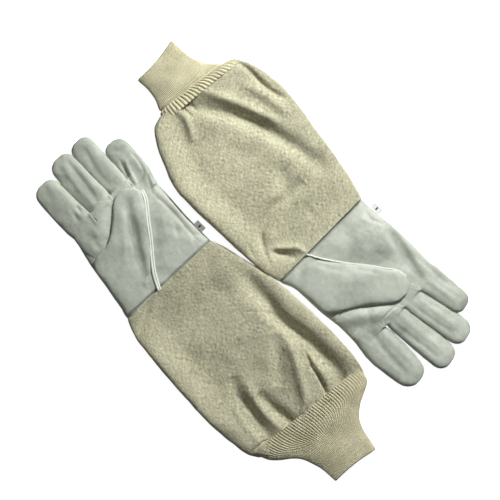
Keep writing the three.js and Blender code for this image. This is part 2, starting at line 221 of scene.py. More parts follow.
# Each fold is (height, width, points): a ridge, or a valley where the height is negative.
PALM_FOLDS = {
    "left": [
        (-1.0, 1.8, [(-193, -9.5), (-174, -11.4), (-164, -15.7), (-160, -23), (-159, -30)]),
        (-1.8, 2.0, [(-194, -25), (-185, -28.6), (-172, -33), (-162, -35)]),
        (1.4, 2.0, [(-190, -20.5), (-174, -27), (-161, -31)]),
        (-1.4, 2.4, [(-161, -14), (-151, -19), (-140, -26)]),
        (-1.1, 2.0, [(-139, -25), (-108, -24), (-79, -26.4), (-62, -27)]),
        (0.9, 2.6, [(-135, -19.5), (-108, -18.5), (-80, -21)]),
        (-1.4, 3.6, [(-242, -68), (-215, -71), (-176, -77)]),
        (0.9, 3.4, [(-238, -76), (-205, -82), (-178, -84)]),
        (-1.6, 2.2, [(-193, -98), (-182, -100)]),
        (-1.4, 3.0, [(-190, -106), (-176, -109)]),
        (-1.0, 3.0, [(-148, -112), (-136, -115)]),
        (-1.1, 4.0, [(-236, -43), (-210, -52), (-180, -55)]),
        (-1.0, 2.4, [(-76, -26), (-66, -20)]),
        (-0.7, 2.8, [(-76, -26), (-62, -33)]),
        (-0.6, 3.0, [(-98, -30), (-82, -42)]),
        (-0.9, 6.0, [(-76, -80), (-100, -56), (-124, -38)]),
        (-1.3, 0.9, [(-167, -62), (-166.5, -90.5)]),
        (3.4, 10.0, [(-141, -128), (-148, -106), (-160, -88), (-176, -74)]),
    ],
    "right": [
        (-3.0, 6.0, [(80, 140), (98, 138), (122, 131), (140, 127.5), (156, 126)]),
        (-2.0, 24.0, [(58, 88), (92, 96), (118, 104)]),
        (-0.8, 0.8, [(79, 146), (79, 138)]),
        (-0.8, 2.4, [(45, 135), (60, 133), (75, 139)]),
        (0.6, 4.0, [(50, 127), (66, 126)]),
        (-0.7, 5.0, [(44, 131), (52, 112), (57, 98)]),
        (-0.8, 8.0, [(70, 117), (96, 112), (120, 117)]),
        (0.8, 5.0, [(84, 129), (110, 125)]),
        (-1.2, 3.2, [(128, 141), (152, 141), (186, 144)]),
        (1.0, 3.4, [(150, 129), (178, 132), (198, 135)]),
        (-0.9, 3.0, [(160, 95.5), (190, 100), (222, 106)]),
        (0.8, 3.4, [(165, 106), (200, 111), (222, 115)]),
        (-1.2, 3.4, [(160, 65), (190, 69), (228, 74)]),
        (0.9, 4.0, [(158, 76), (195, 80), (232, 84)]),
        (-1.3, 4.0, [(150, 41), (185, 36), (222, 35)]),
        (1.0, 4.0, [(160, 49), (190, 49), (218, 47)]),
        (-0.8, 4.0, [(128, 62), (138, 50), (148, 44)]),
        (-1.6, 1.0, [(151, 88), (151, 80), (150.5, 70), (152, 61), (158, 57)]),
        (-1.3, 0.9, [(110, 40), (113, 28), (116, 20)]),
        (4.6, 9.0, [(112, 20), (124, 36), (136, 52), (148, 68), (158, 82)]),
    ],
}

THUMB_FOLDS = {
    "left": [
        (-3.2, 5.5, [(-157, -50), (-130, -67), (-104, -84), (-83, -96), (-68, -102)]),
        (0.9, 4.5, [(-150, -66), (-128, -84), (-104, -106)]),
        (-0.7, 1.4, [(-140, -62), (-118, -79)]),
        (-0.9, 3.0, [(-66, -112), (-76, -106)]),
    ],
    "right": [
        (-0.6, 3.4, [(44, 46), (66, 58), (88, 73)]),
        (-0.4, 2.6, [(84, 76), (98, 86), (114, 96)]),
        (-1.2, 5.0, [(47, 43), (50, 30), (53, 18)]),
        (-0.7, 4.5, [(92, 72), (102, 58), (108, 46)]),
        (1.4, 12.0, [(60, 50), (88, 64), (112, 84)]),
    ],
}

CANVAS_FOLDS = {
    "left": [
        (-12.0, 10.5, [(0, -17), (36, -20), (73, -25), (94, -22), (118, -20), (155, -20), (184, -26)]),
        (2.6, 5.0, [(52, -36), (80, -34), (110, -30), (140, -32), (170, -40)]),
        (-6.5, 2.2, [(112, -30), (130, -36), (148, -40), (160, -44), (174, -48)]),
        (6.5, 6.5, [(92, -36), (110, -43), (130, -55), (150, -67), (168, -80)]),
        (-5.0, 8.0, [(76, -40), (96, -56), (112, -70), (122, -80)]),
        (-7.0, 7.5, [(110, -104), (130, -105), (150, -102), (173, -99)]),
        (4.5, 6.0, [(90, -104), (110, -110), (130, -112), (150, -113), (168, -110)]),
        (-7.0, 7.5, [(76, -110), (96, -122), (120, -125), (140, -129), (162, -131)]),
        (2.0, 4.0, [(100, -134), (130, -140), (158, -142)]),
        (-2.6, 1.2, [(161, -128), (154.3, -143.3), (152.5, -156)]),
        (-3.0, 1.3, [(158.5, -155.5), (166, -151), (172, -147.5)]),
        (-1.4, 1.3, [(62, -24), (48, -32), (34, -45)]),
        (-1.2, 1.3, [(5, -105), (21, -133)]),
        (-2.4, 9.0, [(-14, -30), (-10, -80), (-14, -130)]),
        (-2.4, 4.0, [(-54, -114), (-46, -134), (-35, -154)]),
        (1.6, 4.0, [(-48, -108), (-38, -128), (-26, -146)]),
    ],
    "right": [
        (4.5, 5.5, [(-188, 97), (-170, 106), (-150, 115), (-117, 128), (-92, 137)]),
        (-8.0, 9.0, [(-190, 66), (-178, 80), (-160, 91), (-128, 109), (-93, 121), (-52, 131), (-20, 136)]),
        (3.4, 6.0, [(-157, 138), (-125, 147), (-95, 150)]),
        (-5.0, 3.2, [(-110, 160), (-130, 155), (-148, 154), (-165, 154), (-180, 151)]),
        (-2.6, 3.0, [(-192, 76), (-173, 79)]),
        (-2.6, 1.6, [(-192, 69), (-170, 70)]),
        (4.4, 4.5, [(-192, 64), (-175, 63), (-161, 57), (-150, 50)]),
        (-7.0, 7.0, [(-28, 108), (-28, 84), (-28, 55), (-22, 35), (-8, 14)]),
        (2.4, 6.0, [(-12, 46), (-2, 24)]),
        (-3.0, 16.0, [(-120, 70), (-90, 84), (-60, 96)]),
        (-4.5, 11.0, [(-62, 106), (-46, 94), (-30, 80)]),
        (-1.4, 8.0, [(8, 94), (6, 82)]),
        (3.6, 3.6, [(3, 29), (9, 34), (15, 41), (24, 49), (37, 50)]),
        (-3.6, 4.0, [(6, 23), (17, 31), (30, 40)]),
        (-2.4, 2.4, [(-22, 13), (-12, 8), (-2, 4)]),
        (-2.4, 3.0, [(-20, 31), (0, 18), (15, 12)]),
    ],
}

SLEEVE_HIGH = [17.5, 21, 25, 27, 27, 26, 23, 18.6]
CUFF_HIGH = [18, 16.5, 15, 14, 13, 12.5]

# ---- Curves and noise ----


def smooth_curve(points, count):
    """count points evenly spaced along a smooth curve through the given ones."""
    given = np.array(points, float)
    at = distances(given)
    slope = np.gradient(given, at, axis=0)
    fine = np.linspace(0, at[-1], CURVE_SAMPLES * len(given))
    i = np.clip(np.searchsorted(at, fine, side="right") - 1, 0, len(at) - 2)
    span = (at[i + 1] - at[i])[:, None]
    t = (fine - at[i])[:, None] / span
    path = (2 * t**3 - 3 * t**2 + 1) * given[i] + (t**3 - 2 * t**2 + t) * span * slope[i]
    path = path + (3 * t**2 - 2 * t**3) * given[i + 1] + (t**3 - t**2) * span * slope[i + 1]
    walked = distances(path)
    even = np.linspace(0, walked[-1], count)
    return np.column_stack([np.interp(even, walked, path[:, k]) for k in range(path.shape[1])])


def distances(path):
    """How far along a path each of its points lies."""
    return np.concatenate([[0], np.cumsum(np.linalg.norm(np.diff(path, axis=0), axis=1))])


def spread(values, count):
    """A list of values spread evenly over count places, with straight steps between them."""
    return np.interp(np.linspace(0, 1, count), np.linspace(0, 1, len(values)), values)


def rumple(points, wavelength, seed):
    """A smooth random field over the points, about 1 high, with a fixed seed."""
    rng = np.random.default_rng(seed)
    total = np.zeros(len(points))
    for _ in range(RUMPLE_WAVES):
        way, other = rng.normal(size=(2, 3))
        turn = 2 * np.pi / (wavelength * rng.uniform(0.7, 1.5))
        warp = np.sin(points @ (other / np.linalg.norm(other)) * turn * 0.5 + rng.uniform(0, PHASES))
        total += np.sin(points @ (way / np.linalg.norm(way)) * turn + 1.4 * warp + rng.uniform(0, PHASES))
    return total / WAVE_SUM


def fold_height(plan, folds):
    """The height that ridges and valleys add at each plan point."""
    total = np.zeros(len(plan))
    for height, width, points in folds:
        path = smooth_curve(points, max(8, 4 * len(points)))
        away, along = path_distance(plan, path)
        fade = 0.5 if distances(path)[-1] > LONG_FOLD * width else 1.2
        taper = np.clip(np.sin(np.pi * np.clip(along, 0, 1)), 0, 1) ** fade
        total += height * np.exp(-((away / width) ** 2)) * (FOLD_END + (1 - FOLD_END) * taper)
    return total


def path_distance(plan, path):
    """How far each plan point is from a path, and how far along the path, from 0 to 1."""
    best = np.full(len(plan), 1e9)
    along = np.zeros(len(plan))
    for i in range(len(path) - 1):
        step = path[i + 1] - path[i]
        t = np.clip(((plan - path[i]) @ step) / (step @ step), 0, 1)
        away = np.linalg.norm(plan - path[i] - t[:, None] * step, axis=1)
        closer = away < best
        best = np.where(closer, away, best)
        along = np.where(closer, (i + t) / (len(path) - 1), along)
    return best, along


# ---- Meshes ----


def make_mesh(name, points, faces):
    """A smooth-shaded object from points in millimetres."""
    mesh = bpy.data.meshes.new(name)
    mesh.from_pydata((np.asarray(points) * MM).tolist(), [], [list(map(int, f)) for f in faces])
    mesh.shade_smooth()
    mesh.update()
    made = bpy.data.objects.new(name, mesh)
    bpy.context.scene.collection.objects.link(made)
    return made


def read(items, name, width=1, kind=float):
    """One property of every vertex, corner or face, as an array of rows."""
    flat = np.zeros(len(items) * width, kind)
    items.foreach_get(name, flat)
    return flat.reshape(-1, width) if width > 1 else flat


def points_of(made):
    """An object's points, in millimetres."""
    return read(made.data.vertices, "co", 3) / MM


def normals_of(made):
    return read(made.data.vertex_normals, "vector", 3, np.float32).astype(float)


def set_points(made, points):
    made.data.vertices.foreach_set("co", (np.asarray(points) * MM).ravel())
    made.data.update()


def store(made, name, vectors):
    """Keeps a vector for each point, for the materials to read."""
    layer = made.data.attributes.get(name) or made.data.attributes.new(name, "FLOAT_VECTOR", "POINT")
    layer.data.foreach_set("vector", np.ascontiguousarray(vectors, dtype=np.float32).ravel())


def ring_shape(count, squareness, aspect):
    """(across, up) evenly spaced round a flattened tube's section, from the thumb side over the top."""
    angle = np.linspace(0, 2 * np.pi, SECTION_SAMPLES)
    cos, sin = np.cos(angle), np.sin(angle)
    across = -np.sign(cos) * abs(cos) ** (2 / squareness)
    up = np.sign(sin) * abs(sin) ** (2 / squareness)
    walked = distances(np.column_stack([across * aspect, up]))
    even = np.linspace(0, walked[-1], count, endpoint=False)
    return np.interp(even, walked, across), np.interp(even, walked, up)


def tube_points(side_a, side_b, low, seam, high, ring, lean=0.0):
    """Rows of points round a flattened tube, between two edges in plan. Heights are one number per station.

    With a lean, the upper side comes down towards side_b.
    """
    across, up = ring
    up = np.where(up > 0, up * (1 - lean * (1 + across) / 2), up)
    middle = (side_a + side_b) / 2
    half = (side_b - side_a) / 2
    plan = middle[:, None, :] + half[:, None, :] * across[None, :, None]
    reach = np.where(up[None, :] > 0, (high - seam)[:, None], (seam - low)[:, None])
    height = seam[:, None] + up[None, :] * reach
    return np.concatenate([plan, height[:, :, None]], axis=2)


def grid_faces(rows, columns, flip=False):
    """Quads between rows of points that close round."""
    r, c = np.meshgrid(np.arange(rows - 1), np.arange(columns), indexing="ij")
    here, right = r * columns + c, r * columns + (c + 1) % columns
    faces = np.stack([here, right, right + columns, here + columns], axis=-1).reshape(-1, 4)
    return faces[:, ::-1] if flip else faces


def tube_mesh(rows, flip):
    """The points of an open tube, and the way its skin faces at each."""
    base = make_mesh("tube", rows.reshape(-1, 3), grid_faces(*rows.shape[:2], flip))
    points, normals = points_of(base), normals_of(base)
    bpy.data.objects.remove(base)
    return points, normals


def closed_tube(rows):
    """Points and faces of a tube with its two ends filled."""
    count, columns = rows.shape[:2]
    faces = [list(f) for f in grid_faces(count, columns)]
    faces.append(list(range(columns))[::-1])
    faces.append([(count - 1) * columns + i for i in range(columns)])
    return rows.reshape(-1, 3), faces


def remeshed(name, solids, voxel, smoothing):
    """One smooth skin round several overlapping solids."""
    rough = make_mesh(name, *joined(solids))
    modifier = rough.modifiers.new("voxels", "REMESH")
    modifier.mode = "VOXEL"
    modifier.voxel_size = voxel * MM
    modifier = rough.modifiers.new("smooth", "SMOOTH")
    modifier.factor = SMOOTH_FACTOR
    modifier.iterations = smoothing
    skin = bpy.data.meshes.new_from_object(rough.evaluated_get(bpy.context.evaluated_depsgraph_get()))
    rough.modifiers.clear()
    rough.data = skin
    skin.shade_smooth()
    return rough


def part_of(whole, name, keep):
    """The faces of a mesh where keep is true, as an object that shades as the whole mesh does."""
    mesh = whole.data
    corners = read(mesh.loops, "vertex_index", kind=int)
    starts = read(mesh.polygons, "loop_start", kind=int)[keep]
    sizes = read(mesh.polygons, "loop_total", kind=int)[keep]
    faces = [corners[start:start + size] for start, size in zip(starts, sizes)]
    used, flat = np.unique(np.concatenate(faces), return_inverse=True)
    ends = np.cumsum([len(f) for f in faces])[:-1]
    points, normals = points_of(whole), normals_of(whole)
    made = make_mesh(name, points[used], np.split(flat, ends))
    made.data.normals_split_custom_set_from_vertices(normals[used].tolist())
    for layer in ("rest", "crease_shade_lift"):
        store(made, layer, stored(whole, layer)[used])
    return made


def stored(made, name):
    """The vectors that store kept."""
    return read(made.data.attributes[name].data, "vector", 3, np.float32)


def face_centres(made):
    return read(made.data.polygons, "center", 3) / MM


# ---- Joints ----


def hinge(joint_name):
    """A hinge's place in plan, in millimetres, and the plan direction that its child lies in."""
    joint = JOINTS[joint_name]
    outwards = Vector((0, 0, 1)).cross(Vector(joint["axis"]))
    return np.array(joint["pos_m"][:2]) / MM, np.array(outwards[:2])


def beyond(points, joint_name):
    """How far each point lies beyond a hinge, in millimetres."""
    place, outwards = hinge(joint_name)
    return (points[:, :2] - place) @ outwards


def bend(piece, joint_name, before, after):
    """Bakes the piece's transform into its points; its hinge and the before and after distances are not
    used.
    """
    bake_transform(piece)


WRIST_BEND = (-18, 8)
CUFF_BEND = (1, 17)
FINGER_BEND = (1, 13)
THUMB_BEND = (-7, 9)
CUT_MARGIN = 1.5  # a skin is cut this far before its bend starts

# ---- Leather hand ----


def finger_axes(finger):
    """Where a finger's line starts, its length, and the directions along and across it."""
    root, tip = np.array(finger["root"], float), np.array(finger["tip"], float)
    length = np.linalg.norm(tip - root)
    forward = (tip - root) / length
    return root, length, forward, np.array([-forward[1], forward[0]]) * np.sign(forward[0])


def stall_rows(finger, roll):
    """Rows of a finger: a flattened tube along a slightly bent line, closed by a round tip."""
    root, length, forward, across = finger_axes(finger)
    share = np.concatenate([np.linspace(0, 0.8, 13), 1 - 0.2 * np.cos(np.linspace(0.25, 1.52, 12))])
    half = np.interp(share, FINGER_PLACES, finger["half"]) - FINGER_SLIM
    round_from = 1 - half * 1.05 / length
    turn = np.clip((share - round_from) / (1 - round_from), 0, 1)
    close = np.sqrt(1 - turn**2.3 * 0.985)
    bow = finger["bend"] * np.sin(np.pi * share)
    line = root + forward * (share * length)[:, None] + across * bow[:, None]
    reach = across * (half * close)[:, None]
    high = FINGER_HIGH - TIP_DROP * turn**2 - 0.5 * np.sin(np.pi * share)
    ring = ring_shape(36, 3.1, 2)
    rows = tube_points(line - reach, line + reach, TIP_RISE * turn**2, FINGER_SEAM + 0 * share, high, ring)
    rows[:, :, 2] += roll * ring[0] * np.clip(ring[1], 0, 1) * (1 - turn**2)[:, None]
    return rows


def palm_rows(palm):
    """Rows of the palm and the back of the hand together: one flattened tube from inside the sleeve on."""
    count = 30
    side_a, side_b = smooth_curve(palm["thumb"], count), smooth_curve(palm["little"], count)
    share = np.linspace(0, 1, count)
    high = HAND_HIGH + HAND_CROWN * np.sin(np.pi * share)
    return tube_points(side_a, side_b, 0 * share, 0 * share + SEAM_HEIGHT, high, ring_shape(120, 3.6, 8))


def plump(points, fingers):
    """Gives the fingers back the width that they were remeshed without, and pinches their raised edges."""
    plan = points[:, :2]
    best = np.full(len(points), 1e9)
    shift = np.zeros((len(points), 3))
    for finger in fingers.values():
        root, length, forward, across = finger_axes(finger)
        along = (plan - root) @ forward / length
        side = (plan - root) @ across - finger["bend"] * np.sin(np.pi * np.clip(along, 0, 1))
        half = np.interp(along, FINGER_PLACES, finger["half"])
        ramp = np.clip((along - 0.1) / 0.2, 0, 1)
        wider = np.clip(side / (half - FINGER_SLIM), -1, 1) * (FINGER_SLIM + SKIN_SHRINK) * ramp
        nearer = abs(side) < best
        lip = FINGER_LIP * np.exp(-(((side - half + 2.4) / 1.1) ** 2)) * ramp * (points[:, 2] > SEAM_HEIGHT)
        shift = np.where(nearer[:, None], np.column_stack([across * wider[:, None], lip]), shift)
        best = np.where(nearer, abs(side), best)
    return points + shift


def side_seams(points, normals, heights):
    """The pinched seams along the sides of the fingers: a lip above a groove."""
    steep = np.clip(1 - abs(normals[:, 2]) * 1.2, 0, 1)
    total = np.zeros(len(points))
    for seam in heights:
        total += 0.35 * np.exp(-(((points[:, 2] - seam - 0.9) / 0.8) ** 2))
        total -= 0.55 * np.exp(-(((points[:, 2] - seam + 0.6) / 0.7) ** 2))
    return total * steep


def crumple(skin, folds, seed, wrist, seams=(11.5, 4.4), wave=0.5):
    """Works folds, side seams and small unevenness into a leather skin."""
    points, normals = points_of(skin), normals_of(skin)
    upward = np.clip(normals[:, 2] * 1.6 - 0.3, 0, 1)
    lift = fold_height(points[:, :2], folds) * upward
    lift += wave * rumple(points, 34, seed) * (0.3 + 0.7 * upward)
    lift += 0.09 * rumple(points, 11, seed + 1) + 0.035 * rumple(points * [1, 0.5, 1], 4, seed + 2)
    lift += side_seams(points, normals, seams)
    lift -= WRIST_DIP * np.clip((into_sleeve(points, wrist) + 1.2) / 3, 0, 1) * (0.2 + 0.8 * upward)
    points = points + normals * lift[:, None]
    points[:, 2] = np.maximum(points[:, 2], FLOOR_CLEAR + 0.1 * abs(rumple(points, 6, seed + 3)))
    set_points(skin, points)
    store(skin, "rest", points)
    # The lift is kept for the leather's painted crease shade.
    store(skin, "crease_shade_lift", np.column_stack([lift, 0 * lift, 0 * lift]))


def into_sleeve(points, wrist):
    """How far inside the sleeve each point of the hand lies, in millimetres."""
    a, b = np.array(wrist, float)
    inward = np.array([b[1] - a[1], a[0] - b[0]]) / np.linalg.norm(b - a)
    return (points[:, :2] - a) @ inward


def build_hand(side, glove, seed):
    """The leather hand with its four fingers, each finger a piece of its own from its hinge on."""
    fingers = glove["fingers"]
    solids = [closed_tube(palm_rows(glove["palm"]))]
    solids += [closed_tube(stall_rows(finger, FINGER_ROLL[side])) for finger in fingers.values()]
    skin = remeshed(f"{side}_hand_skin", solids, LEATHER_VOXEL, 9)
    set_points(skin, plump(points_of(skin), fingers))
    crumple(skin, PALM_FOLDS[side], seed, glove["wrist"])

    centres = face_centres(skin)
    names = np.array(list(fingers))
    sides = np.stack([finger_side(centres, finger) for finger in fingers.values()])
    nearest = names[np.argmin(abs(sides), axis=0)]
    taken = into_sleeve(centres, glove["wrist"]) > LEATHER_TUCK
    for name in names:
        joint = f"{side}_{name}_flex"
        own = (nearest == name) & (beyond(centres, joint) > FINGER_BEND[0] - CUT_MARGIN) & ~taken
        piece = part_of(skin, f"{side}_{name}_leather", own)
        nodes = [node for node in frame["nodes"] if node.startswith(f"{side}_{name}_")]
        finish_piece(piece, "leather", joint, FINGER_BEND, nodes)
        taken |= own
    hand = part_of(skin, f"{side}_hand_leather", ~taken)
    panels = [f"{side}_palm_panel", f"{side}_back_panel"]
    finish_piece(hand, "leather", f"{side}_wrist_fold", WRIST_BEND, panels)
    bpy.data.objects.remove(skin)


def finger_side(points, finger):
    """How far each point lies beside the line of a finger."""
    root, _, _, across = finger_axes(finger)
    return (points[:, :2] - root) @ across


def build_thumb(side, glove, seed):
    """The thumb, folded over the palm, and the base that it hinges on."""
    count = 44
    outer, inner, low, high = zip(*glove["thumb"])
    outer, inner = smooth_curve(outer, count), smooth_curve(inner, count)
    low, high = spread(low, count), spread(high, count)
    ring = ring_shape(72, 3.2, 3)
    rows = tube_points(outer, inner, low, (low * 3 + high) / 4, high, ring, glove["thumb_lean"])
    skin = remeshed(f"{side}_thumb_skin", [closed_tube(rows)], LEATHER_VOXEL, 6)
    crumple(skin, THUMB_FOLDS[side], seed, glove["wrist"], seams=(), wave=0.4)
    centres = face_centres(skin)
    joint = f"{side}_thumb_lift"
    inside = into_sleeve(centres, glove["wrist"]) > LEATHER_TUCK
    tip = (beyond(centres, joint) > THUMB_BEND[0] - CUT_MARGIN) & ~inside
    thumb = part_of(skin, f"{side}_thumb_leather", tip)
    finish_piece(thumb, "leather", joint, THUMB_BEND, [f"{side}_thumb_outer", f"{side}_thumb_inner"])
    base = part_of(skin, f"{side}_thumb_base_leather", ~tip & ~inside)
    finish_piece(base, "leather", f"{side}_wrist_fold", WRIST_BEND, [f"{side}_thumb_base"])
    bpy.data.objects.remove(skin)


def finish_piece(piece, slot, joint, reach, nodes):
    """Gives a piece its material, bakes its transform, and hides the CAD nodes that it stands for."""
    piece.data.materials.clear()
    piece.data.materials.append(MATERIALS[slot])
    bend(piece, joint, *reach)
    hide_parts(*nodes)


# ---- Canvas sleeve and knit cuff ----


def heights_along(heights, count):
    """A few heights along a tube, as a smooth curve at count places."""
    return smooth_curve(list(zip(np.linspace(0, 100, len(heights)), heights)), count)[:, 1]


def build_sleeve(side, glove, seed):
    """The canvas sleeve: a flat tube with a sagging, folded upper layer, gathered into the cuff."""
    edges = glove["sleeve"]
    length = distances(np.array(edges["thumb"], float))[-1]
    count = int(length / CANVAS_STEP)
    side_a, side_b = smooth_curve(edges["thumb"], count), smooth_curve(edges["little"], count)
    ring = ring_shape(CANVAS_COLUMNS, CANVAS_SQUARE, 7)
    share = np.linspace(0, 1, count)
    high = heights_along(SLEEVE_HIGH, count)
    rows = tube_points(side_a, side_b, 0 * share, SEAM_HEIGHT + 0 * share, high, ring)
    flip = side == "left"
    points, normals = tube_mesh(rows, flip)
    upward = np.clip(normals[:, 2] * 1.8, 0, 1)
    top = np.clip((points[:, 2] - SEAM_HEIGHT) / (np.repeat(high, CANVAS_COLUMNS) - SEAM_HEIGHT), 0, 1)
    along = np.repeat(share, CANVAS_COLUMNS)
    across = np.tile(ring[0], count)
    around = np.tile(np.linspace(0, 1, CANVAS_COLUMNS, endpoint=False), count)
    raised = fold_height(points[:, :2], CANVAS_FOLDS[side]) * np.clip(along / 0.03, 0.2, 1)
    raised += sag(across, along, glove["sag_rise"]) + 0.7 * rumple(points, 46, seed)
    lift = gathers(along, around, across, length, glove["gathered"], seed)
    lift = lift + 0.18 * rumple(points, 15, seed + 1)
    lift += 0.06 * rumple(points * [0.4, 1, 1], 5, seed + 2)
    at_wrist = np.exp(-((along * length / 1.6) ** 2))
    at_cuff = np.exp(-(((1 - along) * length / 1.8) ** 2))
    lift -= 0.5 * at_wrist + 1.7 * at_cuff
    points = points + normals * lift[:, None]
    flattened = 1 - round_end(across, along, length)
    points[:, 2] += raised * top - flattened * (points[:, 2] - SEAM_HEIGHT) * (top > 0)
    forward = side_a[-1] - side_a[-2]
    points -= end_shift(across, along, length, glove["sleeve_end"], forward) * upward[:, None]
    points[:, 2] = np.maximum(points[:, 2], FLOOR_CLEAR)
    girth = 2.3 * np.linalg.norm(side_b - side_a, axis=1).mean()
    cloth = np.column_stack([along * length, around * girth, 0 * along])
    points, cloth = (turned_in(v.reshape(count, -1, 3), n) for v, n in ((points, normals), (cloth, None)))
    points[:, 2] = np.maximum(points[:, 2], FLOOR_CLEAR)
    made = make_mesh(f"{side}_sleeve_canvas", points, grid_faces(count + 4, CANVAS_COLUMNS, flip))
    store(made, "rest", points)
    store(made, "cloth", cloth)
    panels = [f"{side}_sleeve_front", f"{side}_sleeve_back"]
    finish_piece(made, "canvas", f"{side}_wrist_fold", WRIST_BEND, panels)


def turned_in(rows, normals):
    """Adds two rows at each end of a tube, where the cloth turns in under its own edge."""
    added = []
    for edge, second in ((0, 1), (-1, -2)):
        back = rows[second] - rows[edge]
        back = back / np.maximum(np.linalg.norm(back, axis=1), 1e-6)[:, None]
        down = 0 if normals is None else normals.reshape(rows.shape)[edge] * CANVAS_THICK
        added.append((rows[edge] - down * 0.6 + back * 0.1, rows[edge] - down * 1.2 + back * 4))
    (start_a, start_b), (end_a, end_b) = added
    return np.concatenate([start_b[None], start_a[None], rows, end_a[None], end_b[None]]).reshape(-1, 3)


def end_shift(across, along, length, scallops, forward):
    """How far the upper layer's cuff edge falls back from a straight line."""
    share, back = np.array(scallops, float).T
    t = np.clip(1 - (1 - along) * length / SCALLOP_REACH, 0, 1)
    amount = np.interp((across + 1) / 2, share, back) * t * t * (3 - 2 * t)
    return amount[:, None] * np.append(forward / np.linalg.norm(forward), 0)


def round_end(across, along, length):
    """The share of its height that the flat sleeve keeps near the rounder cuff."""
    t = np.clip(1 - (1 - along) * length / ROUND_REACH, 0, 1)
    side = np.clip(abs(across), 0, 0.995)
    rounder = (1 - side**CUFF_SQUARE) ** (1 / CUFF_SQUARE)
    rounder = rounder / (1 - side**CANVAS_SQUARE) ** (1 / CANVAS_SQUARE)
    return 1 - t * t * (3 - 2 * t) * (1 - rounder)


def sag(across, along, back_up):
    """The empty sleeve lies low in the middle, and comes back up towards its little-finger side."""
    t = np.clip((across + 0.97) / 0.42, 0, 1)
    rise = np.clip((across + 0.5) / 1.3, 0, 1)
    return (rise * back_up - SAG_DEPTH * t * t * (3 - 2 * t)) * np.sin(np.pi * np.clip(along, 0, 1)) ** 0.6


def gathers(along, around, across, length, far_share, seed):
    """Small puckers where the canvas is gathered into the cuff, and shallower ones at the wrist.

    On the little-finger side of the cuff only a share of their height is left.
    """
    turn = around * 2 * np.pi
    rng = np.random.default_rng(seed)
    puckers = np.zeros(len(along))
    for waves in (31, 37, 46, 58):
        puckers += np.sin(turn * waves + rng.uniform(0, PHASES) + 1.5 * np.sin(turn * 3 + waves)) / WAVE_SUM
    at_cuff = np.exp(-(1 - along) * length / 11) * np.interp(across, [0.1, 0.5], [1, far_share])
    at_wrist = np.exp(-along * length / 6)
    return puckers * (1.1 * at_cuff + 0.25 * at_wrist)


def build_cuff(side, glove, seed):
    """A doubled tube of rib knit: out along the ribs, round the open edge, and back inside to the seam."""
    edges = glove["cuff"]
    count, columns = 64, RIBS * RIB_COLUMNS
    side_a, side_b = smooth_curve(edges["thumb"], count), smooth_curve(edges["little"], count)
    share = np.linspace(0, 1, count)
    high = heights_along(CUFF_HIGH, count)
    ring = ring_shape(columns, CUFF_SQUARE, 5)
    rows = tube_points(side_a, side_b, 0 * share, SEAM_HEIGHT - 0.8 * share, high, ring)
    bow = CUFF_HOLLOW * (1 - ring[0] ** 2)[None, :] * (np.clip(share - 0.5, 0, 1) * 2)[:, None] ** 2
    rows -= bow[:, :, None] * edge_step(rows)
    normals = tube_mesh(rows, side == "left")[1].reshape(count, columns, 3)
    wide = np.linalg.norm(side_b - side_a, axis=1)
    depth = np.clip((wide / wide.max()) ** 2.2, 0.15, 1)
    from_seam = share * distances(side_a)[-1] - CUFF_TUCK
    banded = 1 / (1 + np.exp(2 * (from_seam - CUFF_BAND[side])))
    crease = CUFF_CREASE[side] * np.exp(-(((from_seam - CUFF_BAND[side]) / CREASE_WIDTH) ** 2))
    lift = ribs(columns, RIBS)[None, :] * (depth * (1 - banded))[:, None]
    lift += BAND_RIB_DEPTH * ribs(columns, RIBS // 2)[None, :] * banded[:, None] + 0.6 * banded[:, None]
    lift -= crease[:, None]
    flat = rows.reshape(-1, 3)
    lift = lift + 0.5 * rumple(flat, 30, seed).reshape(count, columns)
    outside = rows + normals * lift[:, :, None]
    outside[:, :, 2] = np.maximum(outside[:, :, 2], FLOOR_CLEAR)
    inside = (rows - normals * KNIT_THICK)[::-1]
    turn = rows[-1] - normals[-1] * KNIT_THICK / 2 + edge_step(rows) * 0.9
    skin = np.concatenate([outside, turn[None], inside])
    points = skin.reshape(-1, 3)
    made = make_mesh(f"{side}_cuff_knit", points, grid_faces(len(skin), columns, side == "left"))
    store(made, "rest", points)
    run = np.concatenate([share, [1.02], share[::-1]]) * CUFF_LONG
    around = np.tile(np.arange(columns) / columns * RIBS, len(skin))
    store(made, "cloth", np.column_stack([np.repeat(run, columns), around, 0 * around]))
    finish_piece(made, "knit", f"{side}_cuff_fold", CUFF_BEND, [f"{side}_knit_cuff"])


def ribs(columns, count):
    """Rounded ribs with narrow valleys, round the whole cuff."""
    phase = np.linspace(0, count * np.pi, columns, endpoint=False)
    return RIB_DEPTH * (abs(np.cos(phase)) ** 0.7 * 2 - 1.4)


def edge_step(rows):
    """The direction out of the open end of a tube."""
    step = (rows[-1] - rows[-2]).mean(axis=0)
    return step / np.linalg.norm(step)


# ---- Small pieces ----


def rod(path, radius, sides=10):
    """A rounded rod along a path of 3-D points."""
    ahead = np.gradient(path, axis=0)
    ahead /= np.linalg.norm(ahead, axis=1)[:, None]
    across = np.cross(ahead, [0, 0, 1])
    across /= np.linalg.norm(across, axis=1)[:, None]
    over = np.cross(across, ahead)
    angle = np.linspace(0, 2 * np.pi, sides, endpoint=False)
    end = np.clip(np.minimum(distances(path), distances(path)[-1] - distances(path)) / (radius * 1.5), 0, 1)
    thick = radius * np.sqrt(1 - (1 - end) ** 2 * 0.97)
    cos, sin = np.cos(angle)[None, :, None], np.sin(angle)[None, :, None]
    offsets = across[:, None, :] * cos + over[:, None, :] * sin
    return closed_tube(path[:, None, :] + offsets * thick[:, None, None])


def joined(parts):
    """Several lots of points and faces as one."""
    faces, start = [], 0
    for points, part_faces in parts:
        faces += [[i + start for i in face] for face in part_faces]
        start += len(points)
    return np.concatenate([points for points, _ in parts]), faces


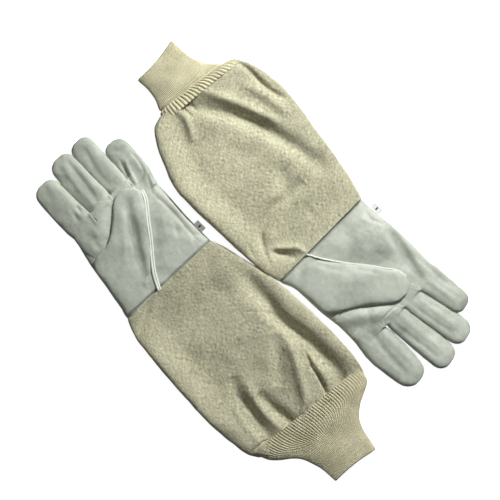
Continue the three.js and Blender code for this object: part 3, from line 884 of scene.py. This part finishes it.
def build_welt(side, glove):
    """The rolled welt in the thumb seam, lying on the palm along the thumb."""
    count = 90
    outer, inner, low, high = zip(*glove["thumb"][:-1])
    plan = smooth_curve(inner, count)
    ahead = np.gradient(plan, axis=0)
    ahead /= np.linalg.norm(ahead, axis=1)[:, None]
    out = np.column_stack([-ahead[:, 1], ahead[:, 0]])
    out *= np.sign(((plan - smooth_curve(outer, count)) * out).sum())
    height = spread([max((3 * a + b) / 4 - 0.6, WELT_FLOOR) for a, b in zip(low, high)], count)
    joint = f"{side}_thumb_lift"
    past_cut = beyond(plan, joint) - THUMB_BEND[0] + CUT_MARGIN
    for name, own, hinge_name, reach in (
        (f"{side}_thumb_welt_roll", past_cut > 0, joint, THUMB_BEND),
        (f"{side}_thumb_base_welt_roll", past_cut < 3 * CUT_MARGIN, f"{side}_wrist_fold", WRIST_BEND),
    ):
        rods = []
        for offset, radius in glove["welts"]:
            path = np.column_stack([plan + out * offset, height + radius])
            rods.append(rod(path[own], radius))
        points, faces = joined(rods)
        made = make_mesh(name, points, faces)
        store(made, "rest", points)
        store(made, "crease_shade_lift", 0 * points)
        finish_piece(made, "welt", hinge_name, reach, [name.removesuffix("_roll")])


def build_tag(side, glove):
    """A folded woven label that stands out of the side seam."""
    long, wide, thick = TAG_SIZE
    rows, columns = 15, 9
    x, y = np.meshgrid(np.linspace(-0.5, 0.5, rows), np.linspace(-0.5, 0.5, columns), indexing="ij")
    x, y = x.ravel(), y.ravel()
    dip = 1.2 * y ** 2 - 0.5 * x * y
    plan = np.column_stack([x * long, y * wide]) + glove["tag"] - [0, 1.5]
    top = np.column_stack([plan, TAG_HEIGHT - TAG_DROOP * wide * y + dip])
    under = top - [0, 0, thick]
    below = rows * columns
    faces = []
    for i in range(rows - 1):
        for j in range(columns - 1):
            a = i * columns + j
            faces.append([a, a + columns, a + columns + 1, a + 1])
            faces.append([a + below + 1, a + below + columns + 1, a + below + columns, a + below])
    rim = [i * columns for i in range(rows)] + [below - columns + j for j in range(1, columns)]
    rim += [i * columns + columns - 1 for i in range(rows - 2, -1, -1)] + list(range(columns - 2, 0, -1))
    faces += [[b, a, a + below, b + below] for a, b in zip(rim, rim[1:] + rim[:1])]
    made = make_mesh(f"{side}_tag_label", np.concatenate([top, under]), faces)
    front = np.repeat([1.0, 0.0], below)
    store(made, "cloth", np.column_stack([np.tile(x, 2) * long, np.tile(y, 2) * wide, front]))
    finish_piece(made, "tag", f"{side}_wrist_fold", WRIST_BEND, [f"{side}_size_tag"])


# ---- Materials ----


class Nodes:
    """One material's node tree, built with short calls."""

    def __init__(self, name, roughness, specular):
        self.material = bpy.data.materials.new(name)
        self.material.use_nodes = True
        self.tree = self.material.node_tree
        self.shader = self.tree.nodes["Principled BSDF"]
        self.shader.inputs["Roughness"].default_value = roughness
        self.shader.inputs["Specular IOR Level"].default_value = specular

    def add(self, kind, inputs, output=0, **settings):
        node = self.tree.nodes.new(kind)
        for key, value in settings.items():
            setattr(node, key, value)
        for socket, value in inputs.items():
            if isinstance(value, bpy.types.NodeSocket):
                self.tree.links.new(value, node.inputs[socket])
            else:
                node.inputs[socket].default_value = value
        return node.outputs[output]

    def attribute(self, name):
        return self.add("ShaderNodeAttribute", {}, "Vector", attribute_name=name)

    def part(self, vector, axis):
        return self.add("ShaderNodeSeparateXYZ", {0: vector}, axis)

    def stretch(self, vector, scale):
        return self.add("ShaderNodeVectorMath", {0: vector, 1: scale}, operation="MULTIPLY")

    def noise(self, vector, size, detail=2.0, roughness=0.5):
        values = {"Vector": vector, "Scale": 1 / size, "Detail": detail, "Roughness": roughness}
        return self.add("ShaderNodeTexNoise", values)

    def cell_edges(self, vector, size):
        values = {"Vector": vector, "Scale": 1 / size}
        return self.add("ShaderNodeTexVoronoi", values, "Distance", feature="DISTANCE_TO_EDGE")

    def maths(self, operation, a, b=0.0):
        return self.add("ShaderNodeMath", {0: a, 1: b}, operation=operation)

    def times(self, a, b):
        return self.maths("MULTIPLY", a, b)

    def weighted(self, first, *others):
        """The sum of some (value, weight) pairs."""
        total = self.times(*first)
        for pair in others:
            total = self.maths("ADD", total, self.times(*pair))
        return total

    def between(self, value, low, high, to_low=0.0, to_high=1.0):
        sockets = {"Value": value, "From Min": low, "From Max": high, "To Min": to_low, "To Max": to_high}
        return self.add("ShaderNodeMapRange", sockets)

    def mix(self, factor, a, b, how="MIX"):
        node = self.tree.nodes.new("ShaderNodeMix")
        node.data_type = "RGBA"
        node.blend_type = how
        for socket, value in zip((node.inputs[0], node.inputs[6], node.inputs[7]), (factor, a, b)):
            if isinstance(value, bpy.types.NodeSocket):
                self.tree.links.new(value, socket)
            else:
                socket.default_value = value
        return node.outputs[2]

    def bump(self, height, distance_mm, before=None):
        values = {"Height": height, "Distance": distance_mm * MM, "Strength": 1.0}
        if before is not None:
            values["Normal"] = before
        return self.add("ShaderNodeBump", values)

    def finish(self, colour, normal, roughness=None):
        self.tree.links.new(colour, self.shader.inputs["Base Color"])
        self.tree.links.new(normal, self.shader.inputs["Normal"])
        if roughness is not None:
            self.tree.links.new(roughness, self.shader.inputs["Roughness"])
        return self.material


def leather(name, dark, light, grain_mm):
    """Pale hide with pores, wrinkles and blotches, with painted shade darkening its creases."""
    nodes = Nodes(name, 0.5, 0.38)
    rest = nodes.attribute("rest")
    lift = nodes.part(nodes.attribute("crease_shade_lift"), "X")
    broad = nodes.noise(rest, 38, 4, 0.55)
    small = nodes.noise(rest, 5, 4, 0.6)
    tone = nodes.weighted((broad, 0.6), (small, 0.4))
    colour = nodes.mix(nodes.between(tone, 0.34, 0.66), dark, light)
    # Painted shade: the hide's colour darkens where its folds sink, standing for the shade in creases,
    # valleys and the dip under the canvas edge.
    crease = nodes.between(lift, -1.8, -0.2, 0.68, 1.0)
    colour = nodes.mix(1.0, colour, crease, "MULTIPLY")
    grain = nodes.cell_edges(rest, grain_mm)
    pores = nodes.between(grain, 0.0, 0.16)
    colour = nodes.mix(1.0, colour, nodes.between(pores, 0, 1, 0.93, 1.0), "MULTIPLY")
    wrinkles = nodes.noise(nodes.stretch(rest, (1, 1.7, 1)), 3.2, 3, 0.6)
    normal = nodes.bump(nodes.noise(rest, 12, 4, 0.55), 0.35)
    normal = nodes.bump(wrinkles, 0.16, normal)
    normal = nodes.bump(pores, 0.045, normal)
    rough = nodes.between(small, 0.3, 0.7, 0.44, 0.58)
    return nodes.finish(colour, normal, rough)


def canvas(name, dark, light):
    """Coarse cotton in plain weave, with thick and thin places along the threads."""
    nodes = Nodes(name, 0.85, 0.2)
    nodes.shader.inputs["Sheen Weight"].default_value = 0.12
    nodes.shader.inputs["Sheen Roughness"].default_value = 0.5
    cloth = nodes.attribute("cloth")
    slub = nodes.noise(nodes.stretch(cloth, (0.15, 1, 1)), 0.7, 2, 0.6)
    weft = nodes.noise(nodes.stretch(cloth, (1, 0.2, 1)), 0.7, 2, 0.6)
    bent = nodes.add("ShaderNodeVectorMath", {0: cloth, 1: nodes.noise(cloth, 6, 2)}, operation="ADD")
    turns = 2 * math.pi / THREAD_PITCH
    warp_wave = nodes.maths("SINE", nodes.times(nodes.part(bent, "Y"), turns))
    weft_wave = nodes.maths("SINE", nodes.times(nodes.part(bent, "X"), turns))
    weave = nodes.between(nodes.times(warp_wave, weft_wave), -1, 1)
    broad = nodes.noise(nodes.attribute("rest"), 30, 3)
    tone = nodes.weighted((slub, 0.42), (weft, 0.38), (weave, 0.10), (broad, 0.10))
    colour = nodes.mix(nodes.between(tone, 0.41, 0.61), dark, light)
    threads = nodes.maths("ADD", nodes.times(weave, 0.5), slub)
    normal = nodes.bump(broad, 0.5)
    normal = nodes.bump(threads, 0.3, normal)
    return nodes.finish(colour, normal)


def knit(name, dark, light):
    """Rib knit with a row of slanted stitches along every rib."""
    nodes = Nodes(name, 0.9, 0.15)
    nodes.shader.inputs["Sheen Weight"].default_value = 0.15
    nodes.shader.inputs["Sheen Roughness"].default_value = 0.6
    cloth = nodes.attribute("cloth")
    along = nodes.times(nodes.part(cloth, "X"), 2 * math.pi / STITCH_PITCH)
    around = nodes.times(nodes.part(cloth, "Y"), 2 * math.pi)
    slant = nodes.times(nodes.maths("COSINE", around), 1.3)
    loops = nodes.between(nodes.maths("SINE", nodes.maths("ADD", along, slant)), -1, 1)
    fuzz = nodes.noise(nodes.attribute("rest"), 1.6, 3, 0.7)
    broad = nodes.noise(nodes.attribute("rest"), 24, 2)
    tone = nodes.weighted((fuzz, 0.55), (broad, 0.45))
    colour = nodes.mix(nodes.between(tone, 0.3, 0.7), dark, light)
    normal = nodes.bump(loops, 0.28)
    normal = nodes.bump(fuzz, 0.2, normal)
    return nodes.finish(colour, normal)


def label(name):
    """A white woven label with a plain dark bar between two grey ends, and a painted glow in its own
    colours.
    """
    nodes = Nodes(name, 0.7, 0.3)
    cloth = nodes.attribute("cloth")
    along, across = nodes.part(cloth, "X"), nodes.part(cloth, "Y")
    front = nodes.part(cloth, "Z")
    bar = nodes.maths("LESS_THAN", nodes.maths("ABSOLUTE", along), 1.0)
    bar = nodes.times(bar, nodes.maths("LESS_THAN", nodes.maths("ABSOLUTE", across), 1.9))
    bar = nodes.times(bar, front)
    ends = nodes.maths("GREATER_THAN", nodes.maths("ABSOLUTE", along), 5.4)
    colour = nodes.mix(bar, (0.52, 0.52, 0.50, 1), (0.03, 0.03, 0.035, 1))
    colour = nodes.mix(ends, colour, (0.40, 0.40, 0.385, 1))
    # Painted light: the label glows in its own colours, though it is no lamp, so that it stays pale in the
    # shade of the other glove.
    nodes.tree.links.new(colour, nodes.shader.inputs["Emission Color"])
    nodes.shader.inputs["Emission Strength"].default_value = 0.4
    weave = nodes.noise(nodes.stretch(cloth, (1, 3, 1)), 0.5, 2)
    return nodes.finish(colour, nodes.bump(weave, 0.08))


THREAD_PITCH = 1.3
STITCH_PITCH = 1.9
MATERIALS = {
    "leather": leather("pale leather", (0.395, 0.43, 0.36, 1), (0.568, 0.61, 0.518, 1), 1.3),
    # The welt is the same hide in much lighter colours: a painted highlight for the bright rims along the
    # thumb seam.
    "welt": leather("leather welt", (0.72, 0.75, 0.68, 1), (0.86, 0.89, 0.82, 1), 0.9),
    "canvas": canvas("cotton canvas", (0.19, 0.182, 0.115, 1), (0.80, 0.775, 0.55, 1)),
    "knit": knit("rib knit", (0.36, 0.335, 0.205, 1), (0.82, 0.775, 0.53, 1)),
    "tag": label("woven label"),
}


# ---- Gloves ----

SEEDS = {"left": 11, "right": 57}
for side, glove in GLOVES.items():
    seed = SEEDS[side]
    build_hand(side, glove, seed)
    build_thumb(side, glove, seed + 10)
    build_welt(side, glove)
    build_sleeve(side, glove, seed + 20)
    build_cuff(side, glove, seed + 30)
    build_tag(side, glove)

# ---- Floor, light and camera ----


def build_floor():
    """A white floor that glows, and whose light doesn't reach the gloves."""
    corners = [(-1, -1, 0), (1, -1, 0), (1, 1, 0), (-1, 1, 0)]
    floor = make_mesh("studio_floor", np.array(corners) * FLOOR_REACH, [[0, 1, 2, 3]])
    nodes = Nodes("white floor", 0.7, 0.2)
    faint = nodes.noise(nodes.add("ShaderNodeNewGeometry", {}, "Position"), 0.4, 2)
    colour = nodes.mix(faint, (0.92, 0.92, 0.92, 1), (0.94, 0.94, 0.94, 1))
    nodes.shader.inputs["Emission Color"].default_value = (1, 1, 1, 1)
    nodes.shader.inputs["Emission Strength"].default_value = FLOOR_GLOW
    nodes.finish(colour, nodes.bump(faint, 0.01))
    floor.data.materials.append(nodes.material)
    floor.visible_diffuse = False
    floor.visible_glossy = False


def area_light(name, place, size, power):
    """A soft round light aimed at the middle of the gloves."""
    lamp = bpy.data.lights.new(name, "AREA")
    lamp.shape = "DISK"
    lamp.size = size
    lamp.energy = power
    holder = bpy.data.objects.new(name, lamp)
    holder.location = place
    holder.rotation_euler = Vector(place).to_track_quat("Z", "Y").to_euler()
    holder.visible_camera = False
    bpy.context.scene.collection.objects.link(holder)


FLOOR_REACH = 20000
FLOOR_GLOW = 0.9
SKY_GLOW = 0.08
# Each light is (name, place in metres, size in metres, power in watts).
LIGHTS = [
    ("key", (-0.28, 0.98, 0.8), 0.14, 22.5),
    ("top", (0.1, 0.2, 2.6), 1.6, 3.5),
    ("fill", (-0.6, -2.0, 1.1), 1.2, 1.2),
]


def build_studio():
    """A key light from +Y, and weak light from above, from -Y and from the sky."""
    build_floor()
    for light in LIGHTS:
        area_light(*light)
    world = bpy.data.worlds.new("studio")
    world.use_nodes = True
    sky = world.node_tree.nodes["Background"].inputs
    sky["Color"].default_value = (1, 1, 1, 1)
    sky["Strength"].default_value = SKY_GLOW
    bpy.context.scene.world = world
    bpy.context.scene.view_settings.view_transform = "Standard"


VIEW_CENTRE = (-0.01407, 0.00786)  # in metres, as are the next two
CAMERA_HEIGHT = 1.5
FRAME_WIDTH = 0.585
CAMERA_TURN = 45
SENSOR = 36.0


def build_camera():
    """Straight above the gloves, turned so that they lie along the picture's diagonal."""
    camera = bpy.data.cameras.new("camera")
    camera.sensor_width = SENSOR
    camera.lens = SENSOR * CAMERA_HEIGHT / FRAME_WIDTH
    holder = bpy.data.objects.new("camera", camera)
    holder.location = (*VIEW_CENTRE, CAMERA_HEIGHT)
    holder.rotation_euler = (0, 0, math.radians(CAMERA_TURN))
    bpy.context.scene.collection.objects.link(holder)
    bpy.context.scene.camera = holder


build_studio()
build_camera()
